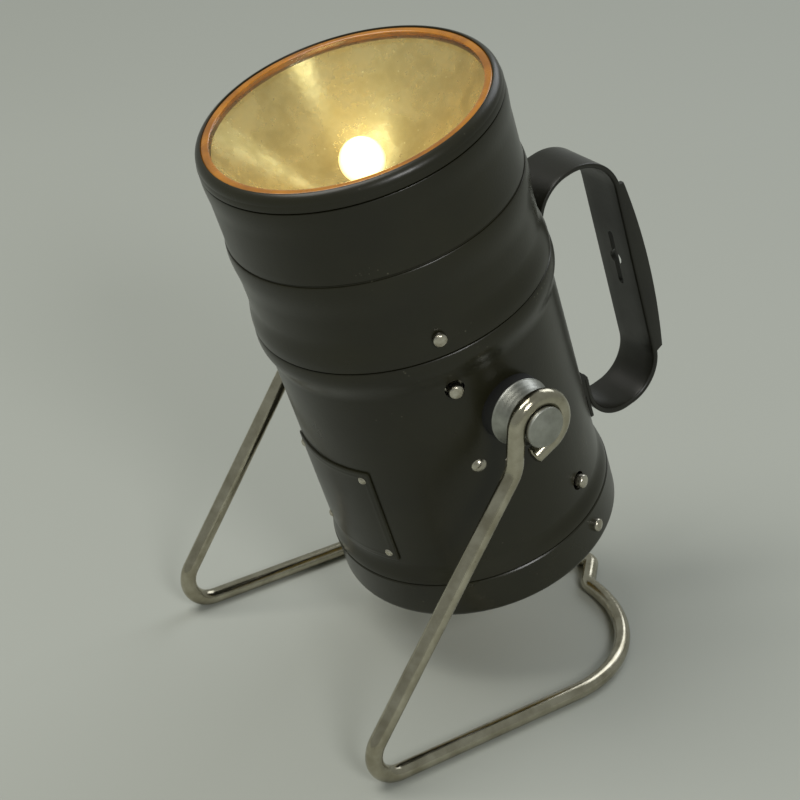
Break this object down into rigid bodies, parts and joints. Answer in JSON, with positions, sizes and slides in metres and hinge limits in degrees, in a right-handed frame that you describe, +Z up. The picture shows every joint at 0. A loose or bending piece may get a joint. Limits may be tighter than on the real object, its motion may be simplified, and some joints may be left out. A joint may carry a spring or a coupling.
{
  "type": "railway hand lamp",
  "caption": "Railway hand lamp: enamelled battery drum with reflector and amber-ringed lens, tilting in a bent wire stand.",
  "frame": {"origin": "on the floor under the middle of the lamp's box, stand at rest and lens tilted 18.4 degrees forwards", "axes": "+Z up, -Y towards the lens's forward tilt and the front corners of the stand, +Y towards the handle, +X along the pivot line"},
  "size_m": [0.1358, 0.1818, 0.2302],
  "materials": {
    "wire": "satin nickel, hand-worn",
    "enamel": "semi-matt olive-grey enamel",
    "handle_enamel": "semi-matt dark olive enamel",
    "turned": "turned, satin",
    "spring_steel": "satin",
    "rivet_steel": "satin nickel",
    "plate": "semi-matt olive-grey enamel",
    "battery_case": "satin, waxed card and resin",
    "brass": "satin",
    "felt": "pressed felt",
    "seal": "matt",
    "glass": "clear",
    "amber": "translucent amber",
    "silvered": "hammered, silvered",
    "board": "brown insulating board",
    "thumb": "black"
  },
  "bodies": {
    "stand": {"stand": "wire"},
    "case": {"case_shell": "enamel", "pivot_studs": "turned", "pivot_nuts": "spring_steel", "battery_guides": "spring_steel", "guide_rivets": "rivet_steel", "name_plate": "plate", "name_plate_rivets": "rivet_steel", "handle": "handle_enamel", "handle_pad": "handle_enamel", "handle_rivets": "handle_enamel", "battery": "battery_case", "battery_springs": "brass", "battery_pad": "felt", "head_shell": "enamel", "head_gasket": "seal", "bezel": "enamel", "lens": "glass", "amber_ring": "amber", "reflector": "silvered", "retaining_ring": "spring_steel", "bulb_glass": "glass", "bulb_cap": "brass", "bulb_holder": "brass", "holder_bracket": "spring_steel", "bracket_screws": "brass", "contact_disc": "board", "centre_contact": "brass", "side_contact": "brass", "head_rivets": "rivet_steel", "bottom_cap": "enamel", "cap_rivets": "rivet_steel", "switch_plate": "handle_enamel", "switch_screws": "rivet_steel", "switch_contact": "brass"},
    "head_latch_near_leaf": {"head_leaf_near": "spring_steel", "head_stud_near": "rivet_steel"},
    "head_latch_far_leaf": {"head_leaf_far": "spring_steel", "head_stud_far": "rivet_steel"},
    "cap_latch_near_leaf": {"cap_leaf_near": "spring_steel", "cap_stud_near": "rivet_steel"},
    "cap_latch_far_leaf": {"cap_leaf_far": "spring_steel", "cap_stud_far": "rivet_steel"},
    "switch": {"switch_slider": "thumb"}
  },
  "joints": [
    {"name": "tilt", "type": "hinge", "parent": "stand", "child": "case", "pos_m": [0, -0.01225, 0.12], "axis": [1, 0, 0], "continuous": true},
    {"name": "head_latch_near", "type": "hinge", "parent": "case", "child": "head_latch_near_leaf", "pos_m": [0.04371, -0.03955, 0.15276], "axis": [0.3355, 0.8939, 0.2974], "range_deg": [0, 7.2], "stiffness_Nm_per_rad": 0.3},
    {"name": "head_latch_far", "type": "hinge", "parent": "case", "child": "head_latch_far_leaf", "pos_m": [-0.04371, -0.01002, 0.16258], "axis": [-0.3355, -0.8939, -0.2974], "range_deg": [0, 7.2], "stiffness_Nm_per_rad": 0.3},
    {"name": "cap_latch_near", "type": "hinge", "parent": "case", "child": "cap_latch_near_leaf", "pos_m": [0.04296, 0.02667, 0.05854], "axis": [0.3778, -0.8785, -0.2923], "range_deg": [0, 7.4], "stiffness_Nm_per_rad": 0.3},
    {"name": "cap_latch_far", "type": "hinge", "parent": "case", "child": "cap_latch_far_leaf", "pos_m": [-0.04296, -0.00661, 0.04748], "axis": [-0.3778, 0.8785, 0.2923], "range_deg": [0, 7.4], "stiffness_Nm_per_rad": 0.3},
    {"name": "switch", "type": "slide", "parent": "case", "child": "switch", "axis": [0, 0.3156, -0.9489], "range_m": [0, 0.004]}
  ]
}
